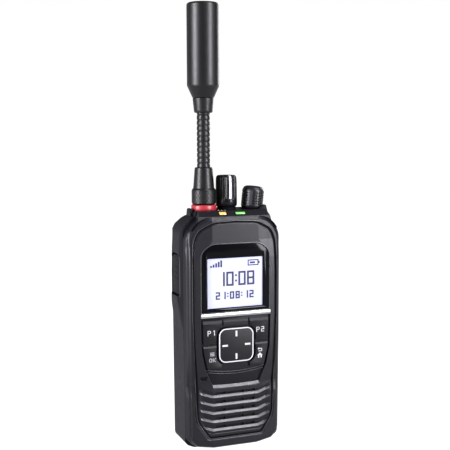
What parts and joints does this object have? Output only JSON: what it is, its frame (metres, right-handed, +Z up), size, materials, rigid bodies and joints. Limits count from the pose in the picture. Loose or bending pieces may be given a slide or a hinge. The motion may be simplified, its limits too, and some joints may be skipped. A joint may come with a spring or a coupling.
{
  "type": "satellite phone",
  "caption": "Rugged hand-held satellite phone with a small screen, keypad and direction pad, speaker grille, two top knobs, a bending top antenna, a rear battery pack and a belt clip.",
  "frame": {"origin": "middle of the flat base of the housing", "axes": "+Z up along the handset to the antenna's tip, -Y out of the screen, +X to the right of someone facing the screen"},
  "size_m": [0.0617, 0.0426, 0.2491],
  "materials": {
    "case": "fine moulded texture, charcoal",
    "soft_black": "matt rubber",
    "knob_black": "satin, ribbed",
    "antenna_black": "satin black sleeve",
    "gloss_black": "gloss",
    "screen": "pale lavender backlit liquid crystal",
    "silver_trim": "satin silver",
    "board": "green solder mask",
    "tinned": "bright tinned steel",
    "gilded": "gold-plated",
    "red_ring": "gloss red",
    "amber_lens": "clear amber light guide",
    "green_lens": "clear green light guide",
    "black_steel": "blackened steel",
    "legend_white": "printed white marks"
  },
  "bodies": {
    "handset": {"front_case": "case", "rear_case": "case", "case_gasket": "soft_black", "display_window": "gloss_black", "lcd_module": "screen", "trim_bar": "silver_trim", "badge_plate": "gloss_black", "keypad_frame": "case", "key_mat": "soft_black", "key_board": "board", "speaker": "tinned", "speaker_cloth": "soft_black", "microphone": "tinned", "main_board": "board", "satellite_module": "tinned", "rf_shield": "tinned", "rotary_switch": "tinned", "volume_pot": "tinned", "led_lens_amber": "amber_lens", "led_lens_green": "green_lens", "antenna_bushing": "gilded", "ptt_switch": "gloss_black", "accessory_connector": "gilded", "battery_terminals": "gilded", "case_screw_1": "black_steel", "case_screw_2": "black_steel", "case_screw_3": "black_steel", "case_screw_4": "black_steel", "clip_bracket": "case", "clip_screw": "black_steel", "clip_pin": "tinned", "clip_spring": "tinned"},
    "p1_button": {"key_p1": "case"},
    "p2_button": {"key_p2": "case"},
    "menu_button": {"key_menu": "case"},
    "back_button": {"key_back": "case"},
    "pad_rocker": {"dpad_rocker": "soft_black"},
    "pad_cap": {"dpad_cap": "case"},
    "talk_button": {"ptt_key": "soft_black"},
    "rotary": {"rotary_knob": "knob_black", "rotary_shaft": "tinned"},
    "volume": {"volume_knob": "knob_black", "volume_shaft": "tinned"},
    "antenna_foot": {"antenna_insert": "gilded"},
    "antenna_lower": {"antenna_ring": "red_ring", "antenna_base": "knob_black", "antenna_neck_lower": "antenna_black"},
    "antenna_middle": {"antenna_neck_middle": "antenna_black"},
    "antenna_upper": {"antenna_neck_upper": "antenna_black", "antenna_collar": "antenna_black", "antenna_radome": "antenna_black", "antenna_element": "gilded"},
    "battery_pack": {"battery_case": "case", "battery_lid": "case", "battery_cell": "tinned", "battery_board": "board"},
    "battery_release": {"battery_latch": "gloss_black"},
    "clip": {"belt_clip": "case"},
    "jack_door": {"jack_cover": "soft_black"},
    "jack_bolt": {"jack_screw": "black_steel"}
  },
  "joints": [
    {"name": "p1_press", "type": "slide", "parent": "handset", "child": "p1_button", "axis": [0, 1, 0], "range_m": [0, 0.0004], "stiffness_N_per_m": 2500},
    {"name": "p2_press", "type": "slide", "parent": "handset", "child": "p2_button", "axis": [0, 1, 0], "range_m": [0, 0.0004], "stiffness_N_per_m": 2500},
    {"name": "menu_press", "type": "slide", "parent": "handset", "child": "menu_button", "axis": [0, 1, 0], "range_m": [0, 0.0004], "stiffness_N_per_m": 2500},
    {"name": "back_press", "type": "slide", "parent": "handset", "child": "back_button", "axis": [0, 1, 0], "range_m": [0, 0.0004], "stiffness_N_per_m": 2500},
    {"name": "pad_tilt_vertical", "type": "hinge", "parent": "handset", "child": "pad_rocker", "pos_m": [0, -0.0143, 0.05887], "axis": [1, 0, 0], "range_deg": [-2, 2], "stiffness_Nm_per_rad": 0.5},
    {"name": "pad_tilt_sideways", "type": "hinge", "parent": "pad_rocker", "child": "pad_cap", "pos_m": [0, -0.0143, 0.05887], "axis": [0, 0, 1], "range_deg": [-2, 2], "stiffness_Nm_per_rad": 0.5},
    {"name": "talk_press", "type": "slide", "parent": "handset", "child": "talk_button", "axis": [1, 0, 0], "range_m": [0, 0.0008], "stiffness_N_per_m": 3000},
    {"name": "rotary_turn", "type": "hinge", "parent": "handset", "child": "rotary", "pos_m": [0.0007, 0, 0.145], "axis": [0, 0, 1], "continuous": true},
    {"name": "volume_turn", "type": "hinge", "parent": "handset", "child": "volume", "pos_m": [0.0163, 0, 0.134], "axis": [0.1045, 0, 0.9945], "range_deg": [-60, 210]},
    {"name": "antenna_rise", "type": "slide", "parent": "handset", "child": "antenna_foot", "axis": [0, 0, 1], "range_m": [0, 0.0032]},
    {"name": "antenna_unscrew", "type": "hinge", "parent": "antenna_foot", "child": "antenna_lower", "pos_m": [-0.0129, 0, 0.14], "axis": [0, 0, 1], "range_deg": [0, 1441]},
    {"name": "neck_bend_forward", "type": "hinge", "parent": "antenna_lower", "child": "antenna_middle", "pos_m": [-0.0129, 0, 0.166], "axis": [1, 0, 0], "range_deg": [-25, 25], "stiffness_Nm_per_rad": 0.6},
    {"name": "neck_bend_sideways", "type": "hinge", "parent": "antenna_middle", "child": "antenna_upper", "pos_m": [-0.0129, 0, 0.181], "axis": [0, 1, 0], "range_deg": [-25, 25], "stiffness_Nm_per_rad": 0.6},
    {"name": "battery_slide", "type": "slide", "parent": "handset", "child": "battery_pack", "axis": [0, 0, -1], "range_m": [0, 0.097]},
    {"name": "battery_latch_slide", "type": "slide", "parent": "battery_pack", "child": "battery_release", "axis": [0, 0, 1], "range_m": [0, 0.002], "stiffness_N_per_m": 800},
    {"name": "clip_open", "type": "hinge", "parent": "handset", "child": "clip", "pos_m": [0, 0.0214, 0.117], "axis": [1, 0, 0], "range_deg": [0, 12], "stiffness_Nm_per_rad": 0.3, "springref_deg": -8.59},
    {"name": "jack_cover_open", "type": "hinge", "parent": "handset", "child": "jack_door", "pos_m": [0.0295, 0.008, 0.1087], "axis": [0, 0, 1], "range_deg": [0, 110]},
    {"name": "jack_screw_turn", "type": "hinge", "parent": "jack_door", "child": "jack_bolt", "pos_m": [0.029, 0, 0.1014], "axis": [1, 0, 0], "continuous": true}
  ],
  "couplings": [
    {"joint": "antenna_unscrew", "follows": "antenna_rise", "rad_per_m": 7854}
  ]
}
